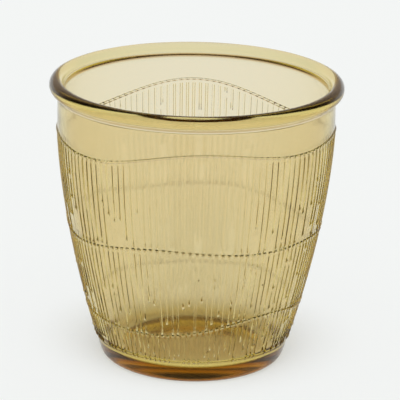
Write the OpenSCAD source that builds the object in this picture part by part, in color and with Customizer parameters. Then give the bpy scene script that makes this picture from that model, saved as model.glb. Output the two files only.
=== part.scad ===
// Pressed glass tumbler for tea, made in one piece.
// A rolled rim stands on a short smooth collar, and below the collar the wall
// tapers in a gentle curve to a rounded heel and a thick base. Fine upright
// ribs cover the wall between three wavy raised seams.

/* [Overall] */
// Outer diameter across the rolled rim
rim_d = 90; // [84:0.5:110]
// Height from the table to the top of the rim
total_h = 89; // [80:0.5:120]

/* [Rim and collar] */
// Thickness of the rolled rim
bead_d = 4.5; // [3.6:0.1:6]
// Thickness of the collar under the rim
collar_t = 2.2; // [1.8:0.1:2.8]
// Height of the smooth collar with its rim
collar_h = 13; // [10:0.5:20]
// How far the rim's round section runs on under it, as an angle below level
under_lean = 60; // [50:1:65]
// Angle at which the cove under the rim leaves the collar
cove_lean = 25; // [10:1:35]
// Depth of the small ledge inside, under the rolled rim
ledge_d = 0.2; // [0.1:0.05:0.4]
// Height of the ledge's slope
ledge_h = 0.3; // [0.2:0.05:0.5]
// Drop from the middle of the rolled rim to the ledge
ledge_drop = 0.25; // [0.1:0.05:0.6]

/* [Wall and base] */
// Outer diameter of the foot, measured before its heel is rounded
foot_d = 56; // [46:0.5:70]
// How the taper grows towards the foot: 1 is a straight cone, 2 a parabola
wall_curve = 1.66; // [1.3:0.02:2]
// Radius of the rounded heel
heel_r = 3.4; // [1:0.1:5]
// Wall thickness at the foot
foot_t = 2.6; // [2:0.1:5]
// Height of the inside floor above the table
floor_t = 5; // [4:0.5:14]
// Radius where the inside wall meets the inside floor
corner_r = 6; // [3:0.5:12]
// Width of the flat ring that the glass stands on
stand_w = 3; // [2:0.5:6]
// Depth of the domed hollow under the base
hollow_h = 2.5; // [0.5:0.1:3]

/* [Ribs] */
// Number of upright ribs in each band
rib_count = 126; // [60:1:160]
// Width of a rib where the wall is widest
rib_w = 0.9; // [0.4:0.05:1.2]
// Bare wall between the ends of the ribs and a seam
rib_gap = 0.3; // [0.2:0.1:1]
// How far a rib stands out from the wall
rib_h = 0.25; // [0.1:0.05:0.5]
// Height above the table where the lowest ribs end
rib_end_z = 7.3; // [6:0.1:10]
// Length over which a rib rises from the wall at each end
rib_fade = 1.2; // [0.6:0.1:2]
// Most that a rib falls short of the seam below it
rib_short = 5; // [0:0.5:6]

/* [Seams] */
// Height of the top seam
top_seam_z = 73.7; // [72:0.1:76]
// Height of the middle seam
mid_seam_z = 43.6; // [38:0.1:50]
// Height of the low seam
low_seam_z = 18.6; // [16:0.1:22]
// Width of a seam
seam_w = 0.9; // [0.6:0.1:1.6]
// How far a seam stands out from the wall
seam_h = 0.42; // [0.3:0.02:0.8]
// Height of a seam's largest wave
wave_h = 1.9; // [0.5:0.1:2.4]

/* [Hidden] */
// How far a rib or a seam reaches into the wall that carries it
root = 0.4;
// Longest straight step along a rib's crest
rib_step = 10;
// Steps along the curved wall, a rounded edge, the rim and a seam's turn
wall_steps = 10;
edge_steps = 5;
rim_steps = 20;
seam_steps = 80;

rim_r = rim_d / 2;
bead_r = bead_d / 2;
foot_r = foot_d / 2;
mouth_r = rim_r - bead_d - ledge_d;
collar_r = mouth_r + collar_t;
wall_top_z = total_h - collar_h;

// Each wave of a seam: how many go round, its height as a share of the largest
// wave, and the azimuth of a crest
top_wave_shares = [[1, 0.36, 56], [2, 1, 14], [3, 0.26, 61], [4, 0.92, 0]];
mid_wave_shares = [[1, 0.72, -38], [2, 0.47, 27], [3, 0.13, 9], [4, 0.55, -18]];
low_wave_shares = [[1, 0.69, 81], [2, 0.64, 43], [3, 0.46, 35], [4, 0.34, 41]];
seams = [[top_seam_z, top_wave_shares], [mid_seam_z, mid_wave_shares], [low_seam_z, low_wave_shares]];

// How far down the curved wall a height is, from 0 at its top to 1 at the table
function depth_share(z) = max(0, (wall_top_z - z) / wall_top_z);
// Outer and inner radius of the wall at a height
function wall_r(z) = collar_r - (collar_r - foot_r) * pow(depth_share(z), wall_curve);
function inner_r(z) = wall_r(z) - collar_t - (foot_t - collar_t) * depth_share(z);
// Height of a seam at an azimuth
function seam_z(i, a) =
    seams[i][0] + wave_h * ([for (w = seams[i][1]) w[1]] * [for (w = seams[i][1]) cos(w[0] * (a - w[2]))]);
// Points of an arc round a centre
function arc(centre, r, from, to, steps) =
    [for (i = [0:steps]) let (a = from + (to - from) * i / steps) centre + r * [cos(a), sin(a)]];
// Where the centre of a rounded edge lies: the edge touches a level line, and a
// wall that leaves that line at x and leans out by the foot's slope
foot_slope = wall_curve * (collar_r - foot_r) / wall_top_z;
function edge_x(x, r) = x + r * (foot_slope - sqrt(1 + pow(foot_slope, 2)));

// Both rounded edges turn from the level line to the wall's lean
lean = -atan(foot_slope);
heel_x = edge_x(foot_r, heel_r);
heel_top_z = heel_r * (1 + sin(lean));
corner_x = edge_x(inner_r(floor_t), corner_r);
corner_top_z = floor_t + corner_r * (1 + sin(lean));

// The hollow under the base is a shallow dome inside the standing ring
hollow_r = heel_x - stand_w;
dome_r = (pow(hollow_r, 2) + pow(hollow_h, 2)) / (2 * hollow_h);
dome_a = asin(hollow_r / dome_r);

// The rim's round section. A cove leads from it down to a crease on the collar
bead_c = [rim_r - bead_r, total_h - bead_r];
cove_r = (bead_c[0] - collar_r + bead_r * cos(under_lean)) / (cos(cove_lean) - cos(under_lean));
cove_c = bead_c + (bead_r + cove_r) * [cos(under_lean), -sin(under_lean)];
ledge_z = bead_c[1] - ledge_drop;

// The glass itself: one outline, from the hollow under the base up the outside,
// over the rim and down the inside to the floor, turned round its axis
module body() {
    under = arc([0, hollow_h - dome_r], dome_r, 90, 90 - dome_a, wall_steps);
    heel = arc([heel_x, heel_r], heel_r, -90, lean, edge_steps);
    wall = [for (i = [1:wall_steps])
        let (z = heel_top_z + (wall_top_z - heel_top_z) * i / wall_steps) [wall_r(z), z]];
    cove = arc(cove_c, cove_r, 180 - cove_lean, 180 - under_lean, edge_steps);
    bead = arc(bead_c, bead_r, -under_lean, 180, rim_steps);
    ledge = [[mouth_r + ledge_d, ledge_z], [mouth_r, ledge_z - ledge_h]];
    inside = [for (i = [0:wall_steps])
        let (z = wall_top_z - (wall_top_z - corner_top_z) * i / wall_steps) [inner_r(z), z]];
    corner = arc([corner_x, floor_t + corner_r], corner_r, lean, -90, edge_steps);
    rotate_extrude($fn = 96)
        polygon(concat(under, heel, wall, [for (i = [1:edge_steps]) cove[i - 1]], bead, ledge,
            inside, [for (i = [1:edge_steps]) corner[i]], [[0, floor_t]]));
}

// A raised seam: a ring of diamond sections that follows the seam's waves, with
// one corner standing out from the wall and the others inside it
module seam(i) {
    section = [[seam_h, 0], [-root, seam_w / 2 + root], [-2 * root, 0], [-root, -seam_w / 2 - root]];
    sides = len(section);
    count = seam_steps * sides;
    points = [for (k = [0:seam_steps - 1], p = section)
        let (a = 360 * k / seam_steps, z = seam_z(i, a) + p[1], r = wall_r(z) + p[0])
            [r * sin(a), -r * cos(a), z]];
    faces = [for (k = [0:seam_steps - 1], s = [0:sides - 1])
        let (a = k * sides + s, b = k * sides + (s + 1) % sides)
            for (f = [[a, b, (b + sides) % count], [a, (b + sides) % count, (a + sides) % count]]) f];
    polyhedron(points, faces);
}

// A rib between two heights: a thin slice round the axis that rises from the
// wall at each end
module rib(a, low_z, high_z) {
    span = high_z - low_z - 2 * rib_fade;
    steps = ceil(span / rib_step);
    crest = [for (i = [0:steps]) let (z = low_z + rib_fade + span * i / steps) [wall_r(z) + rib_h, z]];
    turn = rib_w / collar_r * 180 / PI;
    rotate(a - 90 - turn / 2) rotate_extrude(angle = turn)
        polygon(concat([[wall_r(low_z) - root, low_z]], crest, [[wall_r(high_z) - root, high_z]]));
}

// The ribs that hang from one seam. Each ends at its own height above the next
// seam, and the lowest band ends on a level line above the heel
module rib_band(i) {
    clear = seam_w / 2 + rib_gap;
    short = rands(0, rib_short, rib_count, i + 1);
    for (k = [0:rib_count - 1]) {
        a = 360 * k / rib_count;
        low_z = i == len(seams) - 1 ? rib_end_z : seam_z(i + 1, a) + clear + short[k];
        rib(a, low_z, seam_z(i, a) - clear);
    }
}

module tumbler() {
    color([0.83, 0.75, 0.55, 0.6]) union() {
        body();
        for (i = [0:len(seams) - 1]) {
            seam(i);
            rib_band(i);
        }
    }
}

tumbler();
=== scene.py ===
"""A pressed amber tea glass with a rolled rim, fine upright ribs and three wavy raised seams."""
import math
import random

import bmesh
import bpy
from mathutils import Matrix, Vector, noise


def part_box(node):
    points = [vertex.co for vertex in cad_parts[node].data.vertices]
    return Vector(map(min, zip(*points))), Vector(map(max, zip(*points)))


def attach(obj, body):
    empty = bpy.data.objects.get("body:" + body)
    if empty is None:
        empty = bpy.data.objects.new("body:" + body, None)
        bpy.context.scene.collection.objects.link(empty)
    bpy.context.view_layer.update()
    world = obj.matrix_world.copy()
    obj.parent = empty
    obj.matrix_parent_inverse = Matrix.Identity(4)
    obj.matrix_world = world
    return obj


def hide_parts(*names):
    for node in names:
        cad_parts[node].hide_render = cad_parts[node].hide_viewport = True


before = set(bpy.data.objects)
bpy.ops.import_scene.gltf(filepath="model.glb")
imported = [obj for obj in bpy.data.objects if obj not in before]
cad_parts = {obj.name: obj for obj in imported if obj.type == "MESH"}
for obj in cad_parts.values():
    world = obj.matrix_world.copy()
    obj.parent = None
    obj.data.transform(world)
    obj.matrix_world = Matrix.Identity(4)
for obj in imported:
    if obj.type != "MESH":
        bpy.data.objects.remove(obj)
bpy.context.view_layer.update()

# The glass. One piece of soda-lime glass, pressed in a mould and fire-polished:
# a rolled rim, a smooth collar, a wall that tapers in a gentle curve to a
# rounded heel, and a thick base with a shallow hollow under it.

# Its sizes are in millimetres and its leans in degrees. The finished mesh is
# scaled to metres
MM = 0.001
high_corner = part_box("tumbler")[1]
rim_r = high_corner.x / MM
total_h = high_corner.z / MM
bead_d = 4.5
collar_t = 2.2
collar_h = 13
foot_d = 56
wall_curve = 1.66
foot_t = 2.6
floor_t = 5
heel_r = 3.4
corner_r = 6
stand_w = 3
hollow_h = 2.5
under_lean = 60
cove_lean = 25
ledge_d = 0.2
ledge_h = 0.3
ledge_drop = 0.25
bead_r = bead_d / 2
foot_r = foot_d / 2
wall_top_z = total_h - collar_h
mouth_r = rim_r - bead_d - ledge_d
collar_r = mouth_r + collar_t


def depth_share(z):
    """How far down the wall a height is, from 0 at the collar to 1 on the table."""
    return max(0, (wall_top_z - z) / wall_top_z)


def wall_radius(z):
    """Outside radius of the bare wall."""
    return collar_r - (collar_r - foot_r) * depth_share(z) ** wall_curve


def inner_radius(z):
    """Inside radius of the wall, which is thicker at the foot than at the collar."""
    return wall_radius(z) - collar_t - (foot_t - collar_t) * depth_share(z)


def arc(centre, radius, start, end, steps):
    """Points of an arc in the half section, with its angles in radians."""
    turns = [start + (end - start) * i / steps for i in range(steps + 1)]
    return [(centre[0] + radius * math.cos(t), centre[1] + radius * math.sin(t)) for t in turns]


def spaced(low, high, step):
    """Heights from low to high in equal steps no longer than step, without the last one."""
    count = math.ceil((high - low) / step)
    return [low + (high - low) * i / count for i in range(count)]


# The relief is a hand-drawn pattern cut into the mould: three raised seams wave
# round the wall, and fine upright ribs hang between them
seam_w = 0.9
seam_h = 0.42
seam_levels = (18.6, 43.6, 73.7)
rib_end_z = 7.3
rib_count = 126
rib_w = 0.9
rib_h = 0.25
# Each seam's waves, from the low seam up: how many go round, their height, and the
# azimuth of a crest in degrees, where 0 is the front
seam_waves = (
    ((1, 1.32, 81), (2, 1.22, 43), (3, 0.87, 35), (4, 0.65, 41)),
    ((1, 1.36, -38), (2, 0.89, 27), (3, 0.25, 9), (4, 1.05, -18)),
    ((1, 0.68, 56), (2, 1.91, 14), (3, 0.5, -59), (4, 1.74, 0)),
)

# The heel and the inside corner are rounded edges that touch a level line and
# the wall, which leans out from it
slope = wall_curve * (collar_r - foot_r) / wall_top_z
lean = -math.atan(slope)


def edge_centre_x(x, radius):
    """Where a rounded edge has its centre, if its wall meets the level line at x."""
    return x + radius * (slope - math.hypot(1, slope))


heel_x = edge_centre_x(foot_r, heel_r)
heel_top_z = heel_r * (1 + math.sin(lean))
corner_x = edge_centre_x(inner_radius(floor_t), corner_r)
corner_top_z = floor_t + corner_r * (1 + math.sin(lean))

# The rim is a round bead, and a cove leads from it down to a crease on the collar
bead_x = rim_r - bead_r
bead_z = total_h - bead_r
under_a = math.radians(-under_lean)
cove_a = math.radians(cove_lean)
cove_r = (bead_x - collar_r + bead_r * math.cos(under_a)) / (math.cos(cove_a) - math.cos(under_a))
cove_x = bead_x + (bead_r + cove_r) * math.cos(under_a)
cove_z = bead_z + (bead_r + cove_r) * math.sin(under_a)
junction_z = cove_z + cove_r * math.sin(cove_a)

# Rows of the mesh up the wall, close together where the relief goes
relief_step = 0.8
bare_step = 1.5
seam_row_shares = (-0.5, -0.25, 0, 0.25, 0.5)
seam_rows = [z + seam_w * share for z in seam_levels for share in seam_row_shares]
relief_low = rib_end_z - relief_step
relief_high = seam_rows[-1] + relief_step
rows = spaced(heel_top_z, relief_low, bare_step)
rows += spaced(relief_low, seam_rows[0], relief_step)
for low, high in zip(seam_rows, seam_rows[1:] + [relief_high]):
    rows += spaced(low, high, relief_step)
rows += spaced(relief_high, junction_z, bare_step)

# The half section, from the middle of the hollow under the base up the outside,
# over the rim and down the inside to the middle of the floor
dome_steps = 10
heel_steps = 7
cove_steps = 8
bead_steps = 28
corner_steps = 8
inside_step = 5
floor_ring_share = 0.5
# The slope of the ledge inside, under the rim, as shares of its depth and height
ledge_shares = ((0, 0), (0.08, 0.15), (0.5, 0.5), (0.92, 0.85), (1, 1))
ledge_z = bead_z - ledge_drop
hollow_r = heel_x - stand_w
dome_r = (hollow_r ** 2 + hollow_h ** 2) / (2 * hollow_h)
dome_a = math.asin(hollow_r / dome_r)
outline = arc((0, hollow_h - dome_r), dome_r, math.pi / 2, math.pi / 2 - dome_a, dome_steps)
outline += arc((heel_x, heel_r), heel_r, -math.pi / 2, lean, heel_steps)
outline += [(wall_radius(z), z) for z in rows[1:]]
outline += arc((cove_x, cove_z), cove_r, math.pi - cove_a, math.pi + under_a, cove_steps)[:-1]
outline += arc((bead_x, bead_z), bead_r, under_a, math.pi, bead_steps)
outline += [(mouth_r + ledge_d * (1 - out), ledge_z - ledge_h * down) for out, down in ledge_shares]
inside = spaced(corner_top_z, ledge_z - ledge_h, inside_step)[::-1]
outline += [(inner_radius(z), z) for z in inside]
outline += arc((corner_x, floor_t + corner_r), corner_r, lean, -math.pi / 2, corner_steps)[1:]
outline += [(corner_x * floor_ring_share, floor_t), (0, floor_t)]

# The section is spun round the axis. Two cuts in each column, on the outside of
# the wall alone, give every rib six columns
base_columns = 252
cuts = 2
columns = base_columns * (cuts + 1)
per_rib = columns // rib_count
# How near points are that weld, lie on a level or lie on the wall
weld_d = 0.001
level_d = 0.0001
near_d = 0.01
bm = bmesh.new()
points = [bm.verts.new((x, 0, z)) for x, z in outline]
chain = [bm.edges.new(pair) for pair in zip(points, points[1:])]
bmesh.ops.spin(
    bm, geom=points + chain, axis=(0, 0, 1), cent=(0, 0, 0),
    angle=math.tau, steps=base_columns, use_merge=True)
bmesh.ops.remove_doubles(bm, verts=bm.verts, dist=weld_d)


def on_wall(v):
    """Whether a point lies on the outside of the wall, where the relief goes."""
    if not relief_low - near_d < v.co.z < relief_high + near_d:
        return False
    return abs(math.hypot(v.co.x, v.co.y) - wall_radius(v.co.z)) < near_d


def is_level(edge):
    """Whether an edge runs round the glass, not up it."""
    return abs(edge.verts[0].co.z - edge.verts[1].co.z) < level_d


hoops = [edge for edge in bm.edges if is_level(edge) and on_wall(edge.verts[0]) and on_wall(edge.verts[1])]
bmesh.ops.subdivide_edges(bm, edges=hoops, cuts=cuts, use_grid_fill=True)
bmesh.ops.recalc_face_normals(bm, faces=bm.faces)

# The seams' waves carry the rows near them, and fade out towards the level line
# where the lowest ribs end and towards the collar
still_z = 81
anchors = [(rib_end_z, ())] + list(zip(seam_levels, seam_waves)) + [(still_z, ())]


def wave(waves, azimuth):
    """How far a seam's waves lift it at an azimuth in radians."""
    return sum(h * math.cos(n * (azimuth - math.radians(crest))) for n, h, crest in waves)


def lifted(z, azimuth):
    """Where the seams' waves carry a level row of the wall."""
    for (z0, w0), (z1, w1) in zip(anchors, anchors[1:]):
        if z0 <= z <= z1:
            share = (z - z0) / (z1 - z0)
            return z + (1 - share) * wave(w0, azimuth) + share * wave(w1, azimuth)
    return z


# How the ribs were cut: how far each keeps from the seams above and below it, how
# many run the whole way, and how long a break is
pattern_seed = 4
draw = random.Random(pattern_seed)
top_gaps = (0.6, 1)
bottom_gaps = (0.7, 1.2)
whole_share = 0.6
short_share = 0.5
break_counts = (0, 0, 0, 1)
break_lengths = (0.8, 2.4)
shortest_run = 1
rib_h_shares = (0.85, 1)
end_drop = 0.5


def rib_runs(low, high):
    """The stretches of one rib between two seams. Some stop short, and some break once."""
    top = high - draw.uniform(*top_gaps)
    whole = draw.random() < whole_share
    short_gaps = (bottom_gaps[1], short_share * (high - low))
    bottom = low + draw.uniform(*(bottom_gaps if whole else short_gaps))
    runs = []
    for _ in range(draw.choice(break_counts)):
        z = draw.uniform(bottom, top)
        runs.append((z, top))
        top = z - draw.uniform(*break_lengths)
    runs.append((bottom, top))
    return [(a, b) for a, b in runs if b - a > shortest_run]


bands = [(rib_end_z - end_drop, seam_levels[0])] + list(zip(seam_levels, seam_levels[1:]))
ribs = []
for _ in range(rib_count):
    runs = [run for band in bands for run in rib_runs(*band)]
    ribs.append((runs, draw.uniform(*rib_h_shares)))

# A rib's six columns, as shares of its width and of its height. It ends at the
# bottom in a small dot, twice as proud
column_shares = (-0.5, -0.3, -0.1, 0.1, 0.3, 0.5)
crown_shares = (0, 0.75, 1, 1, 0.75, 0)
knob_share = 2.0


def rib_relief(rib, member, z):
    """How far one of a rib's columns stands out from the wall."""
    runs, strength = ribs[rib]
    for low, high in runs:
        if low <= z <= high:
            knob = knob_share if z - low < relief_step else 1
            return rib_h * strength * crown_shares[member] * knob
    return 0


# A seam is a row of short stitches, one to a rib. Between two stitches a share of
# its height is left, given from the low seam up
seam_links = (0.1, 0.1, 0.6)
seam_steepness = 3


def seam_relief(member, z):
    """How far a seam stands out: level over its middle third, with a slope on each side."""
    gap, link = min((abs(z - s), link) for s, link in zip(seam_levels, seam_links))
    stitch = 1 if 0 < member < per_rib - 1 else link
    return seam_h * stitch * max(0, min(1, (0.5 - gap / seam_w) * seam_steepness))


# Each column moves to its own rib or stitch, and the wall rises there. The ribs
# drift a little to either side, as lines cut by hand do, each rib in its own way
skin_d = 0.05
pitch = math.tau / rib_count
stitch_share = 0.7
stitch_reach = 0.6
rib_drift = 0.12
drift_apart = 3.1
drift_per_mm = 0.03
for v in bm.verts:
    radius = math.hypot(v.co.x, v.co.y)
    z = v.co.z
    azimuth = math.atan2(v.co.x, -v.co.y)
    wall = heel_top_z < z < still_z and radius > wall_radius(z) - skin_d
    if not wall:
        continue
    height = 0
    if relief_low + near_d < z < relief_high - near_d:
        column = round(azimuth / math.tau * columns) % columns
        rib, member = divmod(column, per_rib)
        drift = rib_drift * noise.noise(Vector((rib * drift_apart, z * drift_per_mm, 0)))
        on_seam = min(abs(z - s) for s in seam_levels) < stitch_reach * seam_w
        width = stitch_share * pitch if on_seam else rib_w / collar_r
        azimuth = (rib + 0.5 + drift) * pitch + column_shares[member] * width
        height = max(rib_relief(rib, member, z), seam_relief(member, z))
    new_z = lifted(z, azimuth)
    r = wall_radius(new_z) + height
    v.co = (r * math.sin(azimuth), -r * math.cos(azimuth), new_z)

# Fire-polishing leaves the collar and the rim slightly uneven on the outside: dips
# about 9 mm across and 3 mm high, which grow from just above the top seam
uneven_d = 0.08
uneven_fade = 4
dips_across = 0.11
dips_up = 0.3
for v in bm.verts:
    radius = math.hypot(v.co.x, v.co.y)
    if radius > mouth_r and v.co.z > relief_high:
        share = min(1, (v.co.z - relief_high) / uneven_fade) * (radius - mouth_r) / (rim_r - mouth_r)
        place = Vector((v.co.x * dips_across, v.co.y * dips_across, v.co.z * dips_up))
        dip = uneven_d * share * (0.5 - 0.5 * noise.noise(place))
        v.co.x *= 1 - dip / radius
        v.co.y *= 1 - dip / radius

# Seeds: small bubbles left in the glass, most of them low in the wall
seed_count = 34
seed_low_z = 9
seed_high_z = 62
seed_most_z = 12
seed_radii = (0.22, 0.42)
for _ in range(seed_count):
    z = draw.triangular(seed_low_z, seed_high_z, seed_most_z)
    azimuth = draw.uniform(-math.pi, math.pi)
    r = (wall_radius(z) + inner_radius(z)) / 2
    size = draw.uniform(*seed_radii)
    place = Matrix.Translation((r * math.sin(azimuth), -r * math.cos(azimuth), z))
    seed = bmesh.ops.create_icosphere(bm, subdivisions=2, radius=size, matrix=place)
    faces = {face for v in seed["verts"] for face in v.link_faces}
    bmesh.ops.reverse_faces(bm, faces=list(faces))

sharp_degrees = 22
bmesh.ops.scale(bm, vec=(MM, MM, MM), verts=bm.verts)
mesh = bpy.data.meshes.new("glass_tumbler")
bm.to_mesh(mesh)
bm.free()
mesh.polygons.foreach_set("use_smooth", [True] * len(mesh.polygons))
mesh.set_sharp_from_angle(angle=math.radians(sharp_degrees))
tumbler = bpy.data.objects.new("glass_tumbler", mesh)
bpy.context.scene.collection.objects.link(tumbler)


def linear(hex_colour):
    """An sRGB hex colour as linear red, green, blue and alpha."""
    parts = [int(hex_colour[i:i + 2], 16) / 255 for i in (0, 2, 4)]
    return [p / 12.92 if p <= 0.04045 else ((p + 0.055) / 1.055) ** 2.4 for p in parts] + [1]


def add_node(tree, kind, settings=None, links=None):
    """Adds a node, with its properties and socket values, and with the outputs that feed its sockets."""
    node = tree.nodes.new(kind)
    for name, value in (settings or {}).items():
        if isinstance(name, int) or name in node.inputs:
            node.inputs[name].default_value = value
        else:
            setattr(node, name, value)
    for name, source in (links or {}).items():
        tree.links.new(source, node.inputs[name])
    return node


def new_material(name):
    material = bpy.data.materials.new(name)
    material.use_nodes = True
    material.node_tree.nodes.clear()
    return material


# Amber soda-lime glass, pressed and fire-polished. The melted skin gives slightly
# soft, warm reflections, and the amber deepens where the eye looks through more
# glass, as along the rim and at the heel. The density is per metre of glass
glass_hex = "f1e233"
density = 150.0
skin_hex = "f7f0ea"
gloss_hex = "ffb838"
roughness = 0.085
glass_ior = 1.52
amber = new_material("amber_pressed_glass")
tree = amber.node_tree
shader = add_node(tree, "ShaderNodeBsdfPrincipled", {
    "Base Color": linear(skin_hex), "Roughness": roughness, "IOR": glass_ior,
    "Transmission Weight": 1.0, "Specular Tint": linear(gloss_hex)})
volume = add_node(tree, "ShaderNodeVolumeAbsorption", {"Color": linear(glass_hex), "Density": density})
add_node(tree, "ShaderNodeOutputMaterial", None, {"Surface": shader.outputs[0], "Volume": volume.outputs[0]})
mesh.materials.append(amber)
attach(tumbler, "root")
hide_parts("tumbler")

# The floor. A wide sheet of white paper on the table, where the glass stands. It
# lies loose and flat, and it isn't part of the object.
floor_half = 6
bm = bmesh.new()
bmesh.ops.create_grid(bm, x_segments=1, y_segments=1, size=floor_half)
mesh = bpy.data.meshes.new("studio_floor")
bm.to_mesh(mesh)
bm.free()
floor = bpy.data.objects.new("studio_floor", mesh)
bpy.context.scene.collection.objects.link(floor)

# Uncoated white paper, rolled smooth: matt, so it mirrors nothing and shows one
# even pale tone. Seen straight on, in gloss or through the glass, it is mostly
# plain, and it keeps more of the shade close to the glass, on the side away from
# the key light
paper_hex = "f4f6f5"
plain_near = 0.18
plain_far = 0.85
near_r = 18
far_r = 56
shade_shift = 14
paper = new_material("white_paper")
tree = paper.node_tree
matt = add_node(tree, "ShaderNodeBsdfDiffuse", {"Color": linear(paper_hex)})
plain = add_node(tree, "ShaderNodeEmission", {"Color": linear(paper_hex), "Strength": 1.0})
path = add_node(tree, "ShaderNodeLightPath")
direct = add_node(tree, "ShaderNodeMath", {"operation": "ADD"}, {
    0: path.outputs["Is Camera Ray"], 1: path.outputs["Is Glossy Ray"]})
seen = add_node(tree, "ShaderNodeMath", {"operation": "ADD", "use_clamp": True}, {
    0: direct.outputs[0], 1: path.outputs["Is Transmission Ray"]})
spot = add_node(tree, "ShaderNodeTexCoord")
reach = add_node(tree, "ShaderNodeVectorMath", {"operation": "DISTANCE", 1: (0, shade_shift * MM, 0)}, {
    0: spot.outputs["Object"]})
away = add_node(tree, "ShaderNodeMapRange", {
    "interpolation_type": "SMOOTHSTEP", "From Min": near_r * MM, "From Max": far_r * MM,
    "To Min": plain_near, "To Max": plain_far}, {"Value": reach.outputs["Value"]})
share = add_node(tree, "ShaderNodeMath", {"operation": "MULTIPLY"}, {0: seen.outputs[0], 1: away.outputs[0]})
mix = add_node(tree, "ShaderNodeMixShader", None, {
    "Fac": share.outputs[0], 1: matt.outputs[0], 2: plain.outputs[0]})
add_node(tree, "ShaderNodeOutputMaterial", None, {"Surface": mix.outputs[0]})
mesh.materials.append(paper)

# The light. A white studio tent lights matt surfaces softly from all round, and
# more from the front and above, where the key light stands. A pale backdrop hangs
# behind the glass and low down all round, and the rest of the room is dim.
sky_light = 0.8
key_light = 1.7
key_height = 50
key_edge = 0.7
# Upward and backward parts of a direction between which the backdrop gives way to
# the room, and the white of the backdrop to the warmer tone above it
room_low = 0.03
room_high = 0.12
room_side = 0.4
backdrop_side = 0.75
warm_low = 0.08
warm_high = 0.25
warm_hex = "d8c8b4"
room_hex = "3c2c30"
world = bpy.data.worlds.new("studio")
bpy.context.scene.world = world
world.use_nodes = True
tree = world.node_tree
tree.nodes.clear()
around = add_node(tree, "ShaderNodeTexCoord")
parts = add_node(tree, "ShaderNodeSeparateXYZ", None, {"Vector": around.outputs["Generated"]})
above = add_node(tree, "ShaderNodeMapRange", {
    "interpolation_type": "SMOOTHSTEP", "From Min": room_low, "From Max": room_high}, {
    "Value": parts.outputs["Z"]})
aside = add_node(tree, "ShaderNodeMapRange", {
    "interpolation_type": "SMOOTHSTEP", "From Min": backdrop_side, "From Max": room_side}, {
    "Value": parts.outputs["Y"]})
dim = add_node(tree, "ShaderNodeMath", {"operation": "MULTIPLY"}, {0: above.outputs[0], 1: aside.outputs[0]})
upward = add_node(tree, "ShaderNodeMapRange", {
    "interpolation_type": "SMOOTHSTEP", "From Min": warm_low, "From Max": warm_high}, {
    "Value": parts.outputs["Z"]})
pale = add_node(tree, "ShaderNodeBackground", {"Color": linear(paper_hex)})
warm = add_node(tree, "ShaderNodeBackground", {"Color": linear(warm_hex)})
room = add_node(tree, "ShaderNodeBackground", {"Color": linear(room_hex)})
backdrop = add_node(tree, "ShaderNodeMixShader", None, {
    "Fac": upward.outputs[0], 1: pale.outputs[0], 2: warm.outputs[0]})
shown = add_node(tree, "ShaderNodeMixShader", None, {
    "Fac": dim.outputs[0], 1: backdrop.outputs[0], 2: room.outputs[0]})
key_dir = (0, -math.cos(math.radians(key_height)), math.sin(math.radians(key_height)))
near_key = add_node(tree, "ShaderNodeVectorMath", {"operation": "DOT_PRODUCT", 1: key_dir}, {
    0: around.outputs["Generated"]})
strength = add_node(tree, "ShaderNodeMapRange", {
    "interpolation_type": "SMOOTHSTEP", "From Min": key_edge, "From Max": 1.0,
    "To Min": sky_light, "To Max": key_light}, {"Value": near_key.outputs["Value"]})
light = add_node(tree, "ShaderNodeBackground", {"Color": linear("ffffff")}, {
    "Strength": strength.outputs[0]})
# A ray that has left a matt surface takes the light, and any other sees the room
any_bounce = 0.5
path = add_node(tree, "ShaderNodeLightPath")
lit = add_node(tree, "ShaderNodeMath", {"operation": "GREATER_THAN", 1: any_bounce}, {
    0: path.outputs["Diffuse Depth"]})
mix = add_node(tree, "ShaderNodeMixShader", None, {
    "Fac": lit.outputs[0], 1: shown.outputs[0], 2: light.outputs[0]})
add_node(tree, "ShaderNodeOutputWorld", None, {"Surface": mix.outputs[0]})

# The camera. It stands in front of the glass and looks down into its mouth, from
# the place that makes the outline of the glass agree with the photograph. The
# distance is in metres and the shift of its aim in millimetres.
distance = 0.7998
elevation = math.radians(18.106)
roll = math.radians(1.16)
aim_z = 43
shift_right = 1.63
shift_up = 6.46
focal_px = 2581.8
frame_px = 400
film_w = 36
camera_data = bpy.data.cameras.new("camera")
camera_data.sensor_width = film_w
camera_data.lens = focal_px / frame_px * film_w
camera = bpy.data.objects.new("camera", camera_data)
bpy.context.scene.collection.objects.link(camera)
forward = Vector((0, math.cos(elevation), -math.sin(elevation)))
up = Vector((0, math.sin(elevation), math.cos(elevation)))
aim = Vector((0, 0, aim_z * MM)) + shift_right * MM * Vector((1, 0, 0)) + shift_up * MM * up
camera.location = aim - distance * forward
camera.rotation_mode = "QUATERNION"
camera.rotation_quaternion = forward.to_track_quat("-Z", "Y") @ Matrix.Rotation(roll, 4, "Z").to_quaternion()
bpy.context.scene.camera = camera
bpy.context.scene.view_settings.view_transform = "Standard"
